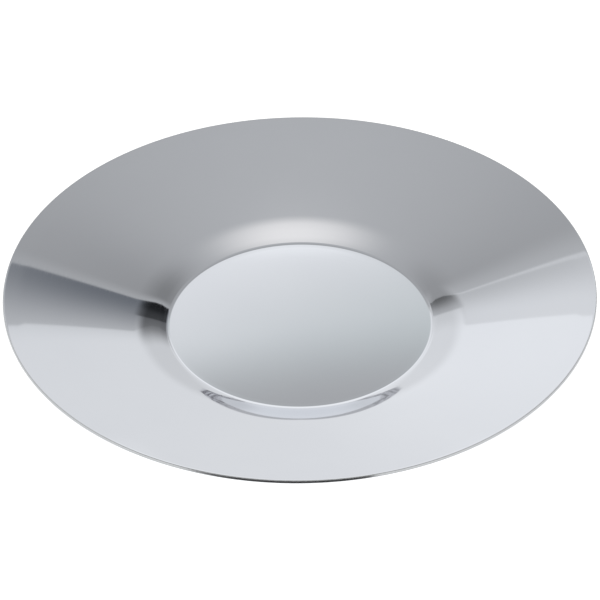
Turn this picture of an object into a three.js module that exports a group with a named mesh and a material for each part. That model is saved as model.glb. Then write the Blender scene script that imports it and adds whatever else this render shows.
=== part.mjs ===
// Stainless steel saucer: one disc of sheet pressed into a cup well and a conical brim.
// Millimetres, +Z up, with the origin under the middle of the well, on the surface that it stands on.
import * as THREE from 'three';

// Driving dimensions
const rimDiameter = 150;
const wellDiameter = 67.2;      // where the flat floor meets the line of the well wall
const wallRun = 6.8;            // width of the well wall, seen from above
const wellDepth = 2.31;         // lip above the floor
const brimRise = 10.13;         // rim above the lip
const sheetThickness = 0.8;
const floorBendRadius = 4.8;    // upper side of the bend from the floor to the wall
const lipBendRadius = 100;      // upper side of the bend from the wall to the brim
const rimRollWidth = 2.2;       // outermost band of the brim, which turns down
const rimRollDrop = 0.12;       // how far that band brings the edge below the line of the brim
const rimRollRadius = 5;        // upper side of that turn
const edgeRound = 0.2;          // broken corners of the trimmed edge

// Facets of the round stretches
const facetsAround = 80;
const floorBendFacets = 6;
const lipBendFacets = 4;
const rimRollFacets = 3;
const edgeRoundFacets = 3;

// Radii and heights that follow from them
const rimRadius = rimDiameter / 2;
const wellRadius = wellDiameter / 2;
const lipRadius = wellRadius + wallRun;
const floorHeight = sheetThickness;
const lipHeight = floorHeight + wellDepth;
const rimHeight = lipHeight + brimRise;
const brimSlope = (brimRise + rimRollDrop) / (rimRadius - lipRadius);
const rollRadius = rimRadius - rimRollWidth / 2;
const rollHeight = lipHeight + brimSlope * (rollRadius - lipRadius);

function corner(radius, height, bend = 0, facets = 1) {
  return { at: new THREE.Vector2(radius, height), bend, facets };
}

// The upper face of the sheet, from the middle of the floor out to the rim
function upperCorners() {
  return [
    corner(0, floorHeight),
    corner(wellRadius, floorHeight, floorBendRadius, floorBendFacets),
    corner(lipRadius, lipHeight, lipBendRadius, lipBendFacets),
    corner(rollRadius, rollHeight, rimRollRadius, rimRollFacets),
    corner(rimRadius, rimHeight, edgeRound, edgeRoundFacets),
  ];
}

// Unit vector square to a side of the outline, pointing to its left
function sideNormal(from, to) {
  const along = to.at.clone().sub(from.at).normalize();
  return new THREE.Vector2(-along.y, along.x);
}

// The under face keeps one sheet thickness from the upper face, and the trimmed edge is upright.
function underCorners(upper) {
  const last = upper.length - 1;
  return upper.map((top, i) => {
    if (i === 0) {
      return corner(0, top.at.y - sheetThickness);
    }
    const inner = sideNormal(upper[i - 1], top);
    if (i === last) {
      return corner(top.at.x, top.at.y - sheetThickness / inner.y, top.bend, top.facets);
    }
    const outer = sideNormal(top, upper[i + 1]);
    const mitre = inner.clone().add(outer).multiplyScalar(sheetThickness / (1 + inner.dot(outer)));
    const bendsUp = inner.cross(outer) > 0;
    const bend = Math.max(top.bend + (bendsUp ? sheetThickness : -sheetThickness), 0);
    const place = top.at.clone().sub(mitre);
    return corner(place.x, place.y, bend, top.facets);
  });
}

// An arc in place of one corner, tangent to both of its sides and no longer than half of either
function bendPoints(before, here, after) {
  const along = here.at.clone().sub(before.at);
  const onward = after.at.clone().sub(here.at);
  const turn = Math.atan2(along.cross(onward), along.dot(onward));
  const halfTan = Math.tan(Math.abs(turn) / 2);
  const reach = Math.min(here.bend * halfTan, along.length() / 2, onward.length() / 2);
  const start = here.at.clone().sub(along.clone().setLength(reach));
  const toCentre = sideNormal(before, here).multiplyScalar(Math.sign(turn) * reach / halfTan);
  const centre = start.clone().add(toCentre);
  const points = [];
  for (let k = 0; k <= here.facets; k += 1) {
    points.push(start.clone().rotateAround(centre, turn * k / here.facets));
  }
  return points;
}

// The closed section of the sheet: out along the under face, up the edge and back along the upper face
function sheetSection() {
  const upper = upperCorners();
  const outline = [...underCorners(upper), ...upper.reverse()];
  return outline.flatMap((here, i) => {
    if (here.bend === 0) {
      return [here.at];
    }
    return bendPoints(outline[i - 1], here, outline[i + 1]);
  });
}

function pressedSaucer() {
  const geometry = new THREE.LatheGeometry(sheetSection(), facetsAround);
  geometry.rotateX(Math.PI / 2);
  const polishedSteel = new THREE.MeshStandardMaterial({
    color: 0xd9dbdd,
    roughness: 0.06,
    metalness: 1,
  });
  const mesh = new THREE.Mesh(geometry, polishedSteel);
  mesh.name = 'pressed_saucer';
  return mesh;
}

const saucer = new THREE.Group();
saucer.add(pressedSaucer());

export default saucer;
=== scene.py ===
import math

import bpy
from mathutils import Matrix, Vector


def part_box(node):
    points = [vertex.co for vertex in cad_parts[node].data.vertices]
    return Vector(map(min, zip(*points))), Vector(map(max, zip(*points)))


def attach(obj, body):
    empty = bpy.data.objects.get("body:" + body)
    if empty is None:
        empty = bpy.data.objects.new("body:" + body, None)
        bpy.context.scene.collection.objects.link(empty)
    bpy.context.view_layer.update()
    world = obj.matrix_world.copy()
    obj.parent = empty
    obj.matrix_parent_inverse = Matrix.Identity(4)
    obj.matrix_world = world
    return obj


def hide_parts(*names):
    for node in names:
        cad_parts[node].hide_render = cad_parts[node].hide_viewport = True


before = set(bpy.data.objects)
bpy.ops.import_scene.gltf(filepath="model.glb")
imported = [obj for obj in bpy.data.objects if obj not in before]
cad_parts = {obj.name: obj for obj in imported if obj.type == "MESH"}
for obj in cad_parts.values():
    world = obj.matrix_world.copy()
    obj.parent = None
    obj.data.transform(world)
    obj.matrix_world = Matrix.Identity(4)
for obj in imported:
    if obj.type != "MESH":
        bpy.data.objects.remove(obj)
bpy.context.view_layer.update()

mm = 0.001  # metres


def toLinear(hexColour):
    # sRGB hex to the linear colour that a socket takes
    channels = [int(hexColour[i:i + 2], 16) / 255 for i in (1, 3, 5)]
    linear = [c / 12.92 if c <= 0.04045 else ((c + 0.055) / 1.055) ** 2.4 for c in channels]
    return (*linear, 1.0)


def addNode(tree, kind, settings, inputs):
    # one node: its settings, then each input set to a value or linked to a node or a socket
    node = tree.nodes.new(kind)
    for name, value in settings.items():
        setattr(node, name, value)
    for key, value in inputs.items():
        socket = next(s for i, s in enumerate(node.inputs) if s.enabled and key in (i, s.name))
        if isinstance(value, bpy.types.Node):
            value = next(s for s in value.outputs if s.enabled)
        if isinstance(value, bpy.types.NodeSocket):
            tree.links.new(value, socket)
        else:
            socket.default_value = value
    return node


# Camera

photo = {
    "size": 600,                   # pixels, both ways
    "distance": 750 * mm,          # to the middle of the well floor
    "elevation": 38.38,            # degrees above the table
    "roll": 0.66,                  # degrees, the right side stands a little higher
    "rimHalfWidth": 297.6,         # pixels
    "wellCentre": (299.8, 322.8),  # pixel where the middle of the well floor shows
    "sensor": 36.0,                # millimetres
}


def makeCamera(rimRadius, rimHeight, floorHeight):
    tilt = math.radians(photo["elevation"])
    back = Vector((0, -math.cos(tilt), math.sin(tilt)))
    up = Vector((0, math.sin(tilt), math.cos(tilt)))
    right = Vector((1, 0, 0))
    wellCentre = Vector((0, 0, floorHeight))
    # focal length in pixels from the widest points that the rim shows
    rimDepth = photo["distance"] - (rimHeight - floorHeight) * math.sin(tilt)
    sightLine = math.sqrt(rimDepth ** 2 - (rimRadius * math.cos(tilt)) ** 2)
    focal = photo["rimHalfWidth"] * sightLine / rimRadius
    perPixel = photo["distance"] / focal
    aside = (photo["size"] / 2 - photo["wellCentre"][0]) * perPixel
    above = (photo["wellCentre"][1] - photo["size"] / 2) * perPixel
    data = bpy.data.cameras.new("photoCamera")
    data.sensor_width = photo["sensor"]
    data.lens = focal * photo["sensor"] / photo["size"]
    camera = bpy.data.objects.new("photoCamera", data)
    camera.location = wellCentre + back * photo["distance"]
    look = wellCentre + up * above + right * aside - camera.location
    turn = look.to_track_quat("-Z", "Y").to_matrix().to_4x4()
    roll = Matrix.Rotation(-math.radians(photo["roll"]), 4, "Z")
    camera.rotation_euler = (turn @ roll).to_euler()
    bpy.context.scene.collection.objects.link(camera)
    bpy.context.scene.camera = camera


# Saucer

saucer = {
    "node": "pressed_saucer",
    "body": "root",
    "slot": "polished_stainless_steel",
    # millimetres and degrees, as the pressing is drawn
    "sheet": 0.8,
    "wellDiameter": 67.5,
    "floorBend": 3.3,
    "footRun": 1.6,         # foot of the wall, which is a little less steep
    "footSlope": 18.0,
    "footBend": 60.0,
    "wallRun": 6.4,         # from the floor to the lip, with the foot
    "wallSlope": 19.25,
    "lipBend": 105.0,
    "rimDrop": 0.04,        # rim below the line of the brim
    "edgeLean": 13.0,       # the trimmed edge is nearly square to the sheet
    "edgeRound": 0.15,
    # what the press leaves on the upper face, too slight for the plain solid
    "crownWidth": 4.0,      # outer part of the brim, which flattens a little
    "crownTurn": 0.4,
    "crownBend": 300.0,
    "rollWidth": 0.5,       # outermost band, which turns down to the edge
    "rollBend": 8.0,
    # mesh
    "around": 240,
    "longestRun": 1.5,      # millimetres between rings on a straight run
    "axisRing": 1e-6,       # millimetres, a ring as small as this is one point
    "sideShare": 0.49,      # most of a side that one bend may take
    "upperSteps": {"floor": 40, "foot": 16, "lip": 24, "crown": 10, "roll": 14, "edge": 6},
    "underSteps": {"floor": 24, "lip": 12, "edge": 6},
}


def corner(radius, height, bend=0.0, steps=1, zone="face"):
    return {"at": Vector((radius, height)), "bend": bend, "steps": steps, "zone": zone}


def upperCorners(rimRadius, rimHeight):
    s = saucer
    well = s["wellDiameter"] / 2
    floor = s["sheet"]
    lip = well + s["wallRun"]
    foot = well + s["footRun"]
    footHeight = floor + s["footRun"] * math.tan(math.radians(s["footSlope"]))
    lipHeight = footHeight + (lip - foot) * math.tan(math.radians(s["wallSlope"]))
    edge = rimRadius - s["sheet"] * math.sin(math.radians(s["edgeLean"]))
    slope = (rimHeight + s["rimDrop"] - lipHeight) / (edge - lip)
    crown = edge - s["crownWidth"]
    crownHeight = lipHeight + slope * (crown - lip)
    roll = edge - s["rollWidth"]
    rollSlope = math.tan(math.atan(slope) - math.radians(s["crownTurn"]))
    rollHeight = crownHeight + rollSlope * (roll - crown)
    steps = s["upperSteps"]
    return [
        corner(0, floor),
        corner(well, floor, s["floorBend"], steps["floor"]),
        corner(foot, footHeight, s["footBend"], steps["foot"]),
        corner(lip, lipHeight, s["lipBend"], steps["lip"]),
        corner(crown, crownHeight, s["crownBend"], steps["crown"]),
        corner(roll, rollHeight, s["rollBend"], steps["roll"]),
        corner(edge, rimHeight, s["edgeRound"], steps["edge"], "edge"),
    ]


def underCorners(upper, rimRadius):
    # one sheet thickness below the upper line, and flat where it stands
    s = saucer
    well, lip, edge = upper[1]["at"], upper[3]["at"], upper[-1]["at"]
    wall = math.radians(s["wallSlope"])
    brim = math.atan2(edge.y + s["rimDrop"] - lip.y, edge.x - lip.x)
    mitre = s["sheet"] / math.cos((wall - brim) / 2)
    normal = (wall + brim) / 2
    underWell = well.x + s["sheet"] * math.tan(wall / 2)
    underLip = lip + mitre * Vector((math.sin(normal), -math.cos(normal)))
    edgeDrop = s["sheet"] * math.cos(math.radians(s["edgeLean"]))
    steps = s["underSteps"]
    return [
        corner(0, 0),
        corner(underWell, 0, s["floorBend"] + s["sheet"], steps["floor"]),
        corner(underLip.x, underLip.y, s["lipBend"], steps["lip"]),
        corner(rimRadius, edge.y - edgeDrop, s["edgeRound"], steps["edge"], "edge"),
    ]


def bendPoints(before, here, after):
    # an arc in place of one corner, tangent to both of its sides
    into = here["at"] - before["at"]
    onward = after["at"] - here["at"]
    turn = math.atan2(into.x * onward.y - into.y * onward.x, into.dot(onward))
    halfTan = math.tan(abs(turn) / 2)
    reach = min(here["bend"] * halfTan, saucer["sideShare"] * min(into.length, onward.length))
    along = into.normalized()
    start = here["at"] - along * reach
    arm = Vector((along.y, -along.x)) * math.copysign(reach / halfTan, turn)
    steps = here["steps"]
    return [start - arm + Matrix.Rotation(turn * k / steps, 2) @ arm for k in range(steps + 1)]


def sheetSection(rimRadius, rimHeight):
    # out along the under face, up the trimmed edge and back along the upper face
    upper = upperCorners(rimRadius, rimHeight)
    corners = underCorners(upper, rimRadius) + upper[::-1]
    section = []
    for i, here in enumerate(corners):
        points = bendPoints(corners[i - 1], here, corners[i + 1]) if here["bend"] else [here["at"]]
        if section:
            last = section[-1][0]
            gap = points[0] - last
            extra = int(gap.length / saucer["longestRun"])
            section += [(last + gap * k / (extra + 1), "face") for k in range(1, extra + 1)]
        section += [(point, here["zone"]) for point in points]
    return section


def makeSaucer(materials):
    low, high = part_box(saucer["node"])
    section = sheetSection((high.x - low.x) / 2 / mm, high.z / mm)
    around = saucer["around"]
    verts, faces, rings = [], [], []
    finishes = []  # 0 for the polished face, 1 for the trimmed edge
    for point, zone in section:
        if point.x < saucer["axisRing"]:
            rings.append([len(verts)] * around)
            verts.append((0, 0, point.y * mm))
            continue
        rings.append(range(len(verts), len(verts) + around))
        for k in range(around):
            turn = math.tau * k / around
            verts.append((point.x * mm * math.cos(turn), point.x * mm * math.sin(turn), point.y * mm))
    for i in range(len(rings) - 1):
        trimmed = section[i][1] == "edge" and section[i + 1][1] == "edge"
        for k in range(around):
            n = (k + 1) % around
            loop = [rings[i][k], rings[i][n], rings[i + 1][n], rings[i + 1][k]]
            faces.append(list(dict.fromkeys(loop)))
            finishes.append(int(trimmed))
    mesh = bpy.data.meshes.new("mirrorSaucer")
    mesh.from_pydata(verts, [], faces)
    for material in materials:
        mesh.materials.append(material)
    mesh.polygons.foreach_set("material_index", finishes)
    mesh.polygons.foreach_set("use_smooth", [True] * len(faces))
    mesh.validate()
    piece = bpy.data.objects.new("mirrorSaucer", mesh)
    bpy.context.scene.collection.objects.link(piece)
    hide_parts(saucer["node"])
    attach(piece, saucer["body"])


# Finishes

polish = {
    "colour": "#d2d5da",
    "haze": "#cdd0d6",
    "hazeSize": 30.0,       # millimetres across a patch of slightly duller polish
    "roughness": 0.025,
    "roughest": 0.045,
    "buffLine": 0.5,        # millimetres between buffing lines, real ones are finer and would not show
    "lineSpread": (0.3, 0.7),  # noise that gives the smoothest and the roughest line
}


def mirrorPolishedStainless():
    # buffed stainless sheet: a cool mirror, with faint rings where the buff turned
    material = bpy.data.materials.new("mirrorPolishedStainless")
    material.use_nodes = True
    tree = material.node_tree
    tree.nodes.clear()
    place = addNode(tree, "ShaderNodeTexCoord", {}, {}).outputs["Object"]
    flat = addNode(tree, "ShaderNodeVectorMath", {"operation": "MULTIPLY"}, {0: place, 1: (1, 1, 0)})
    radius = addNode(tree, "ShaderNodeVectorMath", {"operation": "LENGTH"}, {0: flat})
    lines = addNode(tree, "ShaderNodeTexNoise", {"noise_dimensions": "1D"},
                    {"W": radius, "Scale": 1 / (polish["buffLine"] * mm), "Detail": 2.0})
    cloud = addNode(tree, "ShaderNodeTexNoise", {},
                    {"Vector": place, "Scale": 1 / (polish["hazeSize"] * mm), "Detail": 3.0})
    tint = addNode(tree, "ShaderNodeMix", {"data_type": "RGBA"},
                   {"Factor": cloud, "A": toLinear(polish["colour"]), "B": toLinear(polish["haze"])})
    smoothest, roughest = polish["lineSpread"]
    rough = addNode(tree, "ShaderNodeMapRange", {},
                    {"Value": lines, "From Min": smoothest, "From Max": roughest,
                     "To Min": polish["roughness"], "To Max": polish["roughest"]})
    steel = addNode(tree, "ShaderNodeBsdfPrincipled", {},
                    {"Base Color": tint, "Roughness": rough, "Metallic": 1.0})
    addNode(tree, "ShaderNodeOutputMaterial", {}, {"Surface": steel})
    return material


edgeFinish = {
    "colour": "#c4c6c8",
    "worn": "#aeb0b2",
    "grain": 0.4,           # millimetres, the drag lines that a trimming cut leaves
    "roughness": 0.25,
}


def trimmedStainlessEdge():
    # the cut edge is deburred but not buffed, so it blurs the table and the card in front of it
    material = bpy.data.materials.new("trimmedStainlessEdge")
    material.use_nodes = True
    tree = material.node_tree
    tree.nodes.clear()
    place = addNode(tree, "ShaderNodeTexCoord", {}, {}).outputs["Object"]
    grain = addNode(tree, "ShaderNodeTexNoise", {},
                    {"Vector": place, "Scale": 1 / (edgeFinish["grain"] * mm), "Detail": 2.0})
    tint = addNode(tree, "ShaderNodeMix", {"data_type": "RGBA"},
                   {"Factor": grain, "A": toLinear(edgeFinish["colour"]), "B": toLinear(edgeFinish["worn"])})
    steel = addNode(tree, "ShaderNodeBsdfPrincipled", {},
                    {"Base Color": tint, "Roughness": edgeFinish["roughness"], "Metallic": 1.0})
    addNode(tree, "ShaderNodeOutputMaterial", {}, {"Surface": steel})
    return material


# Studio

# The room that the mirror shows, painted by direction: x to the right, y away from the front, z up.
# Each part lies over the ones before it. A fade goes from none to full between two values of a
# direction's dot product with a lean; "sides" takes the direction without its signs.
# Greys are as the steel shows them; the room is brighter by what the steel keeps back.

# fades that several parts share
nearMiddle = ("sides", (1, 0, 0), 0.2, 0.1)
toRight = ("way", (1, 0, 0), 0.1, 0.2)
toLeft = ("way", (-1, 0, 0), 0.1, 0.2)
flagStopRight = ("way", (1, 0, 0), 0.5, 0.43)    # the flags go no further, so other views stay plain
flagStopLeft = ("way", (-1, 0, 0), 0.5, 0.43)
wallRight = ("way", (1, 0, -0.5), 0.005, 0.042)  # so far aside that only the well wall mirrors it
wallLeft = ("way", (-1, 0, -0.5), 0.005, 0.042)
windowFrame = (("sides", (1, 0, 0), 0.10, 0.04), ("way", (0, 0, 1), 0.2, 0.3))
overSweep = ("way", (0.015, 0, 1), 0.4905, 0.4965)
underSweep = ("sides", (-0.35, 0, 1), 0.106, 0.096)
lowScrim = ("way", (0, 0, 1), 0.86, 0.66)
softboxRise = ("way", (0.037, 0, 1), 0.8, 1.02)
behind = ("way", (0, 1, 0), 0.2, 0.0)

studio = {
    "steelGives": 0.664,                # share of the light that the polished steel sends back
    "sweep": "#e5e5e5",
    "sweepParts": [
        {"name": "far side of the sweep", "grey": "#d7d7d7", "fades": [("way", (1, 0, 0), -0.22, 0.05)]},
        {"name": "window", "grey": "#ececec",
         "fades": [*windowFrame, ("way", (0.1, 0, 1), 0.619, 0.571)]},
        {"name": "top of the sweep", "grey": "#dde3e2", "blend": "MULTIPLY",
         "fades": [("way", (0.28, 0, 1), 0.598, 0.649), nearMiddle]},
        {"name": "edge of the window", "grey": "#ececec",
         "fades": [*windowFrame, ("way", (0.02, 0, 1), 0.6029, 0.6017)]},
        {"name": "low sides of the sweep", "grey": "#eeeeee", "blend": "MULTIPLY",
         "fades": [("sides", (1, 0, -0.5), 0.03, 0.08)]},
        {"name": "wall above the sweep", "grey": "#eeeeee", "blend": "MULTIPLY",
         "fades": [overSweep, ("sides", (1, 0, 0), 0.1, 0.2), ("sides", (1, 0, -0.5), 0.042, 0.02)]},
        {"name": "wall above the low sides", "grey": "#eeeeee", "blend": "MULTIPLY",
         "fades": [("sides", (0.536, 0, 1), 0.6, 0.72), ("sides", (1, 0, -0.5), 0.005, 0.042)]},
        {"name": "foot of the flag", "grey": "#eeeeee", "blend": "MULTIPLY", "fades": [overSweep, toRight]},
        {"name": "flag on the right", "grey": "#66696e",
         "fades": [("way", (0, 0, 1), 0.435, 0.62), ("way", (1, 0, 0), 0.12, 0.3), flagStopRight]},
        {"name": "low end of the flag", "grey": "#a5a5a5", "blend": "MULTIPLY",
         "fades": [("way", (0.536, 0, 1), 0.535, 0.67), ("way", (1, 0, -0.5), 0.025, 0.065),
                   flagStopRight]},
        {"name": "black cloth on the flag", "grey": "#b0b0b0", "blend": "MULTIPLY",
         "fades": [("way", (0.536, 0, 1), 0.7065, 0.7145), wallRight, flagStopRight]},
        {"name": "thick of the cloth", "grey": "#bcbcbc", "blend": "MULTIPLY",
         "fades": [("way", (0.536, 0, 1), 0.737, 0.775), wallRight, flagStopRight]},
        {"name": "shade on the left", "grey": "#d9d9d9", "blend": "MULTIPLY",
         "fades": [("way", (0, 0, 1), 0.525, 0.63), ("way", (-1, 0, 0), 0.12, 0.3), flagStopLeft]},
        {"name": "dark corner on the left", "grey": "#dcdcdc", "blend": "MULTIPLY",
         "fades": [("way", (-0.536, 0, 1), 0.724, 0.738), wallLeft, flagStopLeft]},
        {"name": "depth of that corner", "grey": "#a4a4a4", "blend": "MULTIPLY",
         "fades": [("way", (-0.536, 0, 1), 0.735, 0.824), wallLeft, flagStopLeft]},
        {"name": "dim room under the sweep", "grey": "#a8a8aa",
         "fades": [underSweep, ("way", (0, 1, 0), 0.85, 0.93)]},
        {"name": "stands in the dim room", "grey": "#2c2c32", "mottle": "#c0c0c4",
         "fades": [underSweep, ("sides", (1, 0, 0), 0.06, 0.13), ("way", (0, 1, 0), 0.94, 0.965),
                   ("way", (1, 0, 0), -0.3, 0.05)]},
    ],
    "mottleSize": 0.009,                # a spot's width as a share of its distance
    "mottleSpread": (0.35, 0.65),       # noise that gives the part's own grey and the mottle's
    "scrim": "#9a9a9a",
    "scrimParts": [
        {"name": "upper scrim", "grey": "#b2b2b2", "fades": [("way", (0, 0, 1), 0.58, 1.03)]},
        {"name": "right end", "grey": "#747474", "fades": [("way", (1, 0, 0), 0.25, 0.43), lowScrim]},
        {"name": "left end", "grey": "#8e8e8e", "fades": [("way", (-1, 0, 0), 0.27, 0.43), lowScrim]},
        {"name": "middle hem", "grey": "#a6a6a6", "fades": [("way", (0, 0, 1), 0.7, 0.63), nearMiddle]},
        {"name": "right hem", "grey": "#a6a6a6", "fades": [("way", (0.128, 0, 1), 0.688, 0.652), toRight]},
        {"name": "left hem", "grey": "#aeaeae",
         "fades": [("way", (-0.1, 0, 1), 0.72, 0.655), toLeft, ("way", (-1, 0, -0.5), 0.05, 0.01)]},
        {"name": "left foot", "grey": "#c6c6c6", "fades": [("way", (-0.1, 0, 1), 0.659, 0.654), toLeft]},
        # the rise counts twice, so the softbox comes up late
        {"name": "softbox overhead", "grey": "#f8f4f0",
         "fades": [softboxRise, softboxRise, ("way", (0, 0.603, 0.798), 0.966, 0.94)]},
    ],
    # the scrim's foot is out of focus and leans in the middle, and is lower and sharp at the ends
    "softMiddle": (0.05, 0.2),          # how far aside the middle starts to give way, and is gone
    "footHeight": (0.6321, 0.6215),     # middle, ends
    "footSoftness": (0.0111, 0.003),    # middle, ends
    "footLean": -0.081,                 # rise to the right, in the middle
    "rightDroop": (0.24, 0.38, 0.0151),  # how far aside it starts and is full, and its depth
    # the rest of the room, which only views from the sides and the back show
    "behindParts": [
        {"name": "sweep behind", "grey": "#d4d4d4", "fades": [behind]},
        {"name": "scrim behind", "grey": "#969696", "fades": [behind, ("way", (0, 0, 1), 0.4, 0.75)]},
    ],
}


def paintParts(tree, directions, colour, parts):
    for part in parts:
        share = 1.0
        for which, lean, start, end in part["fades"]:
            reach = addNode(tree, "ShaderNodeVectorMath", {"operation": "DOT_PRODUCT"},
                            {0: directions[which], 1: lean})
            fade = addNode(tree, "ShaderNodeMapRange", {"interpolation_type": "SMOOTHSTEP"},
                           {"Value": reach, "From Min": start, "From Max": end})
            share = addNode(tree, "ShaderNodeMath", {"operation": "MULTIPLY"}, {0: fade, 1: share})
        grey = toLinear(part["grey"])
        if "mottle" in part:
            own, other = studio["mottleSpread"]
            spots = addNode(tree, "ShaderNodeTexNoise", {},
                            {"Vector": directions["way"], "Scale": 1 / studio["mottleSize"], "Detail": 2.0})
            spread = addNode(tree, "ShaderNodeMapRange", {},
                             {"Value": spots, "From Min": own, "From Max": other})
            grey = addNode(tree, "ShaderNodeMix", {"data_type": "RGBA"},
                           {"Factor": spread, "A": grey, "B": toLinear(part["mottle"])})
        colour = addNode(tree, "ShaderNodeMix",
                         {"data_type": "RGBA", "blend_type": part.get("blend", "MIX")},
                         {"Factor": share, "A": colour, "B": grey})
    return colour


def makeStudio():
    s = studio
    world = bpy.data.worlds.new("studio")
    bpy.context.scene.world = world
    world.use_nodes = True
    tree = world.node_tree
    tree.nodes.clear()
    way = addNode(tree, "ShaderNodeTexCoord", {}, {}).outputs["Generated"]
    sides = addNode(tree, "ShaderNodeVectorMath", {"operation": "ABSOLUTE"}, {0: way})
    directions = {"way": way, "sides": sides}
    sweep = paintParts(tree, directions, toLinear(s["sweep"]), s["sweepParts"])
    scrim = paintParts(tree, directions, toLinear(s["scrim"]), s["scrimParts"])
    height = addNode(tree, "ShaderNodeVectorMath", {"operation": "DOT_PRODUCT"}, {0: way, 1: (0, 0, 1)})
    across = addNode(tree, "ShaderNodeVectorMath", {"operation": "DOT_PRODUCT"}, {0: way, 1: (1, 0, 0)})
    aside = addNode(tree, "ShaderNodeMath", {"operation": "ABSOLUTE"}, {0: across})
    middleHeight, endHeight = s["footHeight"]
    leaning = addNode(tree, "ShaderNodeMath", {"operation": "MULTIPLY_ADD"},
                      {0: across, 1: s["footLean"], 2: middleHeight})
    softStart, softEnd = s["softMiddle"]
    foot, softness = [
        addNode(tree, "ShaderNodeMapRange", {"interpolation_type": "SMOOTHSTEP"},
                {"Value": aside, "From Min": softStart, "From Max": softEnd,
                 "To Min": middle, "To Max": ends})
        for middle, ends in ((leaning, endHeight), s["footSoftness"])]
    droopStart, droopEnd, droopDepth = s["rightDroop"]
    droop = addNode(tree, "ShaderNodeMapRange", {"interpolation_type": "SMOOTHSTEP"},
                    {"Value": across, "From Min": droopStart, "From Max": droopEnd, "To Max": droopDepth})
    lifted = addNode(tree, "ShaderNodeMath", {"operation": "ADD"}, {0: height, 1: droop})
    overFoot = addNode(tree, "ShaderNodeMath", {"operation": "SUBTRACT"}, {0: lifted, 1: foot})
    blurred = addNode(tree, "ShaderNodeMath", {"operation": "DIVIDE"}, {0: overFoot, 1: softness})
    share = addNode(tree, "ShaderNodeMapRange", {"interpolation_type": "SMOOTHSTEP"},
                    {"Value": blurred, "From Min": -1.0, "From Max": 1.0})
    room = addNode(tree, "ShaderNodeMix", {"data_type": "RGBA"}, {"Factor": share, "A": sweep, "B": scrim})
    room = paintParts(tree, directions, room, s["behindParts"])
    light = addNode(tree, "ShaderNodeBackground", {}, {"Color": room, "Strength": 1 / s["steelGives"]})
    addNode(tree, "ShaderNodeOutputWorld", {}, {"Surface": light})


table = {
    "colour": "#c8c8c8",
    "roughness": 0.8,
    "glowColour": "#ffffff",
    "glow": 0.8,            # lit from below, so the saucer hardly throws a shadow
    "half": 6.0,            # metres from the middle to a side
    "below": 0.1 * mm,      # under the saucer's base, so the two are not in one plane
}


def makeTable():
    half = table["half"]
    drop = -table["below"]
    mesh = bpy.data.meshes.new("lightTable")
    mesh.from_pydata([(-half, -half, drop), (half, -half, drop), (half, half, drop), (-half, half, drop)],
                     [], [(0, 1, 2, 3)])
    # opal acrylic sheet with lamps under it: an even white without gloss
    material = bpy.data.materials.new("litWhiteAcrylic")
    material.use_nodes = True
    shader = material.node_tree.nodes["Principled BSDF"]
    shader.inputs["Base Color"].default_value = toLinear(table["colour"])
    shader.inputs["Roughness"].default_value = table["roughness"]
    shader.inputs["Emission Color"].default_value = toLinear(table["glowColour"])
    shader.inputs["Emission Strength"].default_value = table["glow"]
    mesh.materials.append(material)
    floor = bpy.data.objects.new("lightTable", mesh)
    bpy.context.scene.collection.objects.link(floor)


card = {
    "inFront": 89 * mm,     # from the middle of the saucer
    "half": 24 * mm,        # from its middle to an end of the straight part
    "height": 12.5 * mm,    # no higher than the rim, so the brim does not mirror it
    "turnedEnd": (-54 * mm, -106 * mm, 9 * mm),  # its left end is bent away and cut lower
    "colour": "#101010",
    "roughness": 0.9,
}


def makeCard():
    # stands close in front, hidden from the camera, from diffuse light and from shadows: a painted dark
    # reflection that only the cut edge mirrors, as a dark line
    y = -card["inFront"]
    half = card["half"]
    top = card["height"]
    endX, endY, endTop = card["turnedEnd"]
    mesh = bpy.data.meshes.new("darkReflectionCard")
    mesh.from_pydata([(-half, y, 0), (half, y, 0), (half, y, top), (-half, y, top),
                      (endX, endY, 0), (endX, endY, endTop)], [], [(0, 1, 2, 3), (4, 0, 3, 5)])
    # uncoated black card: matt, with next to no sheen
    material = bpy.data.materials.new("darkReflectionCard")
    material.use_nodes = True
    shader = material.node_tree.nodes["Principled BSDF"]
    shader.inputs["Base Color"].default_value = toLinear(card["colour"])
    shader.inputs["Roughness"].default_value = card["roughness"]
    mesh.materials.append(material)
    piece = bpy.data.objects.new("darkReflectionCard", mesh)
    # seen by glossy rays alone, so the card paints a dark reflection into the cut edge and nothing else
    for kind in ("camera", "diffuse", "transmission", "volume_scatter", "shadow"):
        setattr(piece, "visible_" + kind, False)
    bpy.context.scene.collection.objects.link(piece)


bpy.context.scene.view_settings.view_transform = "Standard"
low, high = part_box(saucer["node"])
makeCamera((high.x - low.x) / 2, high.z, saucer["sheet"] * mm)
print("camera in place")
makeSaucer([mirrorPolishedStainless(), trimmedStainlessEdge()])
print("saucer made")
makeStudio()
makeTable()
makeCard()
print("studio lit")
